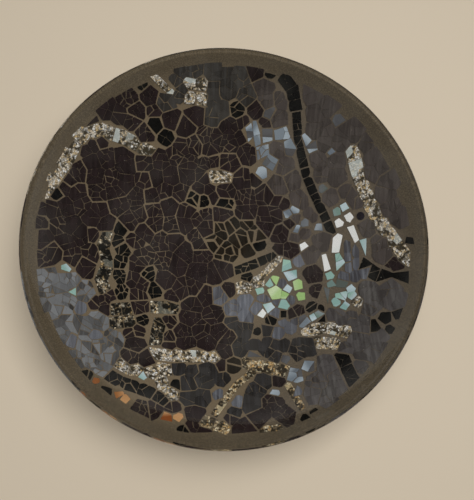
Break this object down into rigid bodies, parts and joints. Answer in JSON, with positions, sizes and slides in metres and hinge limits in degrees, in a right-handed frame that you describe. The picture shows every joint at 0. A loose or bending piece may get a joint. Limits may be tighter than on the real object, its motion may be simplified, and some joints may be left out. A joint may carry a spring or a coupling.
{
  "type": "decorative glass bowl",
  "caption": "Wide shallow round display bowl of clear glass, backed outside by a mosaic of dark, iridescent and foil-backed broken glass set in brown-grey grout, with a flat foot.",
  "frame": {"origin": "centre of the flat foot, on the surface that the bowl stands on", "axes": "+Z is the bowl's axis, up to the open rim; +X is the right and +Y the back of the mosaic as pictured"},
  "size_m": [0.3062, 0.3062, 0.076],
  "materials": {
    "clear_glass": "polished clear",
    "clear_adhesive": "clear, cured",
    "brown_grey_grout": "matt, sanded cement grout",
    "aubergine_glass": "gloss, opaque dark purple brown",
    "umber_glass": "gloss, opaque dark brown",
    "smoke_glass": "gloss, smoky grey",
    "mauve_glass": "gloss, mauve grey",
    "lilac_glass": "gloss, iridescent lilac grey",
    "black_glass": "gloss, opaque black",
    "silver_foil_glass": "clear glass over crumpled silver foil",
    "gold_foil_glass": "clear glass over crumpled gold foil",
    "mirror_white_glass": "gloss, silvered",
    "mint_glass": "gloss, iridescent mint",
    "green_glass": "gloss, iridescent green",
    "ice_blue_glass": "gloss, iridescent ice blue",
    "amber_glass": "gloss, amber",
    "dark_cabochon_glass": "gloss, domed"
  },
  "bodies": {
    "root": {"glass_bowl": "clear_glass", "adhesive_film": "clear_adhesive", "grout": "brown_grey_grout", "aubergine_floor_tesserae": "aubergine_glass", "aubergine_wall_tesserae": "aubergine_glass", "umber_tesserae": "umber_glass", "smoke_left_tesserae": "smoke_glass", "smoke_front_tesserae": "smoke_glass", "smoke_right_tesserae": "smoke_glass", "smoke_back_tesserae": "smoke_glass", "mauve_tesserae": "mauve_glass", "lilac_tesserae": "lilac_glass", "black_stripe": "black_glass", "black_bar": "black_glass", "black_left_tesserae": "black_glass", "black_front_tesserae": "black_glass", "black_right_tesserae": "black_glass", "black_centre_tesserae": "black_glass", "black_back_tesserae": "black_glass", "foil_left_swoosh": "silver_foil_glass", "foil_right_swoosh": "silver_foil_glass", "foil_front_band": "silver_foil_glass", "foil_column": "silver_foil_glass", "foil_right_patch": "silver_foil_glass", "foil_centre_patch": "silver_foil_glass", "foil_back_patch": "silver_foil_glass", "foil_front_lines": "gold_foil_glass", "mirror_tesserae": "mirror_white_glass", "mint_tesserae": "mint_glass", "green_tesserae": "green_glass", "ice_blue_tesserae": "ice_blue_glass", "amber_tesserae": "amber_glass", "dark_cabochon": "dark_cabochon_glass"}
  },
  "joints": []
}
